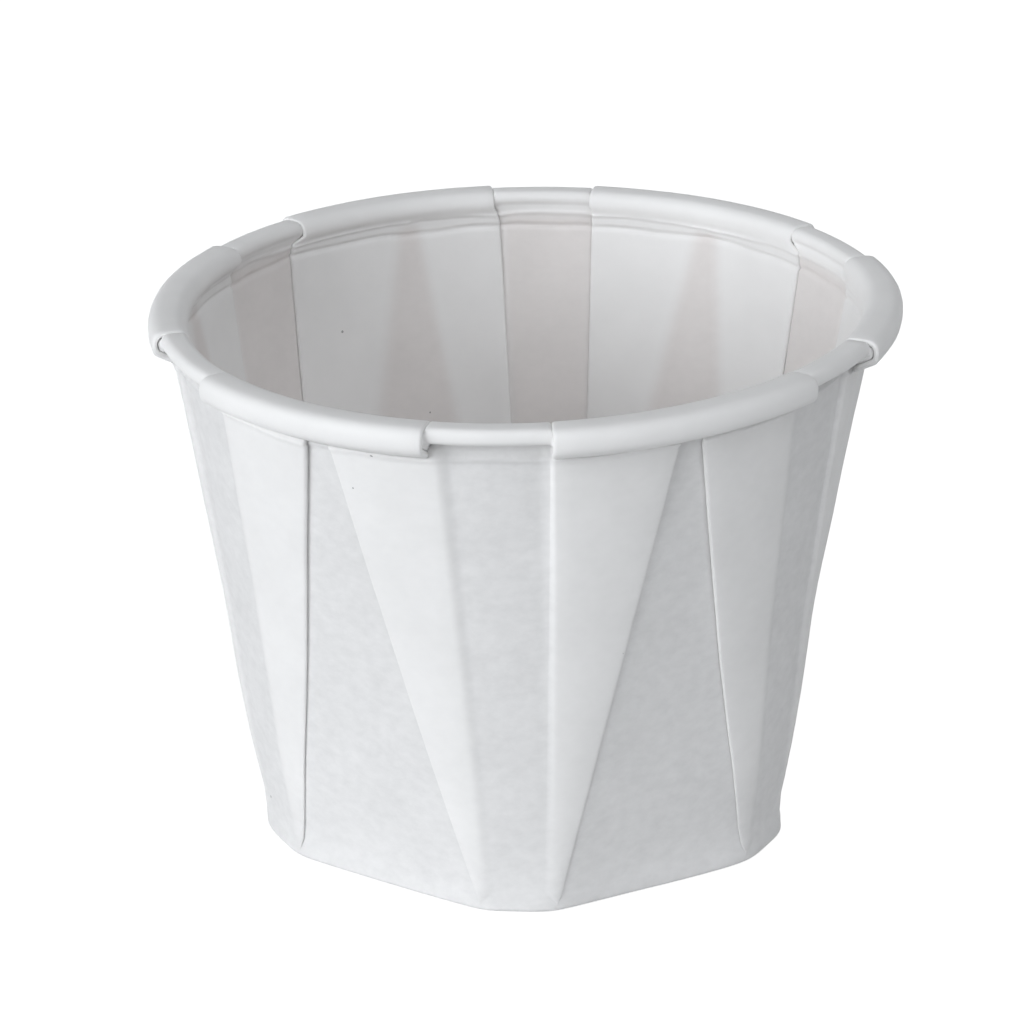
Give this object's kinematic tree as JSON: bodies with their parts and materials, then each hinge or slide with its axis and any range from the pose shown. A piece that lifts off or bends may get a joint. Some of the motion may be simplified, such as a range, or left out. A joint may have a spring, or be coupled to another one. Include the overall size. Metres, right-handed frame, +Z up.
{
  "type": "paper souffle cup",
  "caption": "Small portion cup folded from a single disc of white paper: flat many-sided base, tapered wall laid in box pleats, and a rim rolled outwards over the folds.",
  "frame": {"origin": "Centre of the underside of the flat base, on the surface that the cup stands on.", "axes": "+Z is up along the cup's axis, out of its mouth. -Y is the front, at the middle of one pleat, and +X is to the right."},
  "size_m": [0.0444, 0.044, 0.0324],
  "materials": {
    "paper": "matte uncoated paper"
  },
  "bodies": {
    "root": {"paper_cup": "paper"}
  },
  "joints": []
}
